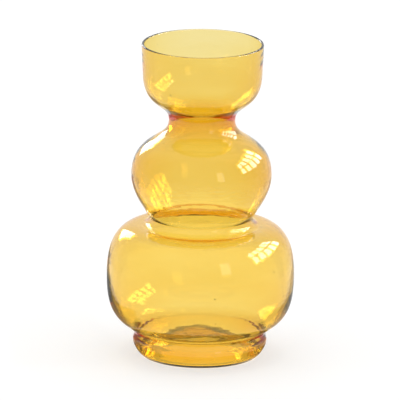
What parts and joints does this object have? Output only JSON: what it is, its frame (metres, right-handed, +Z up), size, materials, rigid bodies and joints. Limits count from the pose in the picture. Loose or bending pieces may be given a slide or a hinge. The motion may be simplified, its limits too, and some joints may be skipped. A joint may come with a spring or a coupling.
{
  "type": "gourd vase",
  "caption": "Tall clear glass vase shaped like a double gourd: cup-shaped mouth, narrow neck, round middle bulb, wide low neck, squat lower bulb and a short hollow foot.",
  "frame": {"origin": "centre of the ring that the vase stands on, in the plane of the table", "axes": "+Z up along the vase's own axis of revolution; X and Y are level and alike"},
  "size_m": [0.1764, 0.1764, 0.3],
  "materials": {
    "amber_glass": "clear, fire-polished"
  },
  "bodies": {
    "root": {"foot": "amber_glass", "lower_bulb": "amber_glass", "middle_bulb": "amber_glass", "cup": "amber_glass"}
  },
  "joints": []
}
